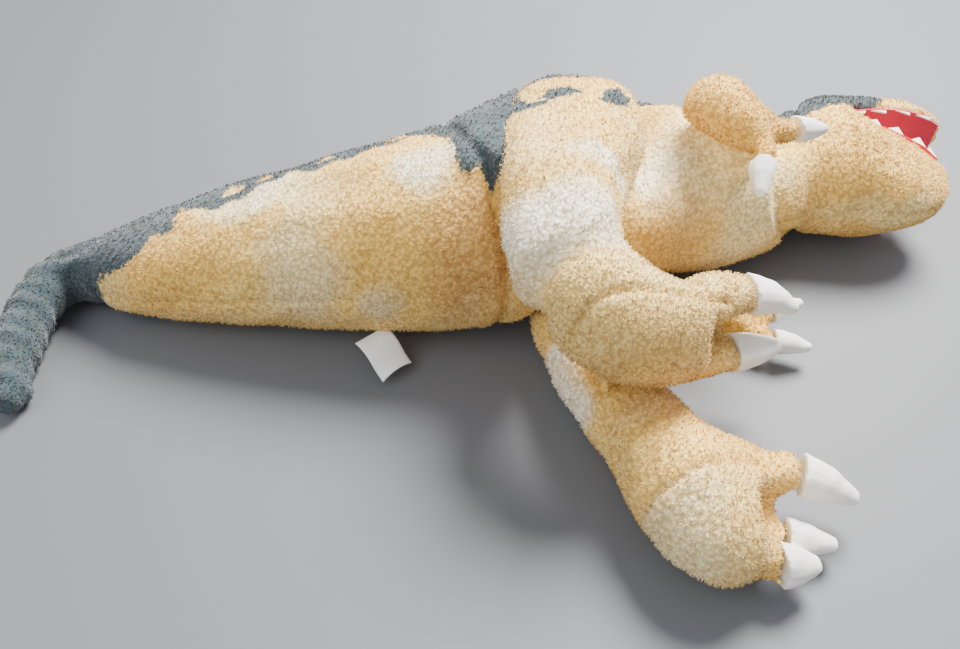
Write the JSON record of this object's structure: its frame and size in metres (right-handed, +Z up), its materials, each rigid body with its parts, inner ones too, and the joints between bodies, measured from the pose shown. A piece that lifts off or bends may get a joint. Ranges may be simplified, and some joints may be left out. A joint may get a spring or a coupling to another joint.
{
  "type": "stuffed_dinosaur",
  "caption": "Plush theropod dinosaur with a slate back, sandy belly and red felt mouth, lying on its side with bendable limbs and tail",
  "frame": {"origin": "middle of the toy's box, on the floor plane, as it lies on its left side", "axes": "+X towards the head, +Y towards the back of the animal, +Z up through its right side"},
  "size_m": [0.8048, 0.4499, 0.184],
  "materials": {
    "printed_fleece": "short curly pile, printed in sand, cream and slate blotches",
    "slate_fleece": "short brushed pile",
    "ochre_fleece": "short curly pile",
    "sole_fleece": "coarse curly pile",
    "claw_plush": "smooth short plush",
    "red_felt": "matt felt",
    "pink_felt": "matt felt",
    "white_felt": "matt felt",
    "satin_ribbon": "woven satin",
    "fibre_fill": "loose polyester fibre",
    "eye_plastic": "polished"
  },
  "bodies": {
    "trunk": {"trunk_right_cover": "printed_fleece", "trunk_left_cover": "printed_fleece", "trunk_stuffing": "fibre_fill"},
    "tail": {"tail_right_cover": "printed_fleece", "tail_left_cover": "printed_fleece", "tail_stuffing": "fibre_fill", "care_label": "satin_ribbon"},
    "tail_tip": {"tail_tip_cover": "slate_fleece", "tail_tip_stuffing": "fibre_fill"},
    "head": {"head_right_cover": "slate_fleece", "head_left_cover": "slate_fleece", "head_stuffing": "fibre_fill", "palate": "red_felt", "upper_teeth": "white_felt", "right_eye": "eye_plastic", "left_eye": "eye_plastic"},
    "jaw": {"jaw_right_cover": "ochre_fleece", "jaw_left_cover": "ochre_fleece", "jaw_stuffing": "fibre_fill", "mouth_floor": "red_felt", "tongue": "pink_felt", "lower_teeth": "white_felt"},
    "right_arm": {"right_arm_cover": "ochre_fleece", "right_arm_stuffing": "fibre_fill", "right_fingers": "ochre_fleece", "right_hand_claws": "claw_plush"},
    "left_arm": {"left_arm_cover": "ochre_fleece", "left_arm_stuffing": "fibre_fill", "left_fingers": "ochre_fleece", "left_hand_claws": "claw_plush"},
    "right_leg": {"right_thigh_cover": "printed_fleece", "right_thigh_stuffing": "fibre_fill"},
    "right_foot": {"right_foot_upper": "ochre_fleece", "right_foot_sole": "sole_fleece", "right_foot_stuffing": "fibre_fill", "right_toes": "ochre_fleece", "right_foot_claws": "claw_plush"},
    "left_leg": {"left_thigh_cover": "printed_fleece", "left_thigh_stuffing": "fibre_fill"},
    "left_foot": {"left_foot_upper": "ochre_fleece", "left_foot_sole": "sole_fleece", "left_foot_stuffing": "fibre_fill", "left_toes": "ochre_fleece", "left_foot_claws": "claw_plush"}
  },
  "joints": [
    {"name": "tail_bend", "type": "hinge", "parent": "trunk", "child": "tail", "pos_m": [-0.0381, 0.0445, 0.075], "axis": [0, 0, 1], "range_deg": [-11, 11], "stiffness_Nm_per_rad": 0.6},
    {"name": "tail_curl", "type": "hinge", "parent": "tail", "child": "tail_tip", "pos_m": [-0.3356, 0.0545, 0.03], "axis": [0, 0, 1], "range_deg": [-11, 11], "stiffness_Nm_per_rad": 0.05},
    {"name": "neck_bend", "type": "hinge", "parent": "trunk", "child": "head", "pos_m": [0.2284, 0.137, 0.06], "axis": [0, 0, 1], "range_deg": [-10, 10], "stiffness_Nm_per_rad": 0.3},
    {"name": "jaw_open", "type": "hinge", "parent": "head", "child": "jaw", "pos_m": [0.2729, 0.156, 0.061], "axis": [0, 0, 1], "range_deg": [-8, 4], "stiffness_Nm_per_rad": 0.1},
    {"name": "right_shoulder", "type": "hinge", "parent": "trunk", "child": "right_arm", "pos_m": [0.1444, 0.077, 0.1435], "axis": [0, 0, 1], "range_deg": [-15, 15], "stiffness_Nm_per_rad": 0.05},
    {"name": "left_shoulder", "type": "hinge", "parent": "trunk", "child": "left_arm", "pos_m": [0.1424, 0.023, 0.022], "axis": [0, 0, 1], "range_deg": [-10, 10], "stiffness_Nm_per_rad": 0.05},
    {"name": "right_hip", "type": "hinge", "parent": "trunk", "child": "right_leg", "pos_m": [0.0364, 0.062, 0.122], "axis": [0, 0, 1], "range_deg": [-2, 8], "stiffness_Nm_per_rad": 0.3},
    {"name": "right_ankle", "type": "hinge", "parent": "right_leg", "child": "right_foot", "pos_m": [0.0346, -0.065, 0.126], "axis": [0, 0, 1], "range_deg": [-8, 8], "stiffness_Nm_per_rad": 0.1},
    {"name": "left_hip", "type": "hinge", "parent": "trunk", "child": "left_leg", "pos_m": [0.0484, 0.059, 0.05], "axis": [0, 0, 1], "range_deg": [-1, 6], "stiffness_Nm_per_rad": 0.3},
    {"name": "left_ankle", "type": "hinge", "parent": "left_leg", "child": "left_foot", "pos_m": [0.0816, -0.119, 0.035], "axis": [0, 0, 1], "range_deg": [-8, 8], "stiffness_Nm_per_rad": 0.1}
  ]
}
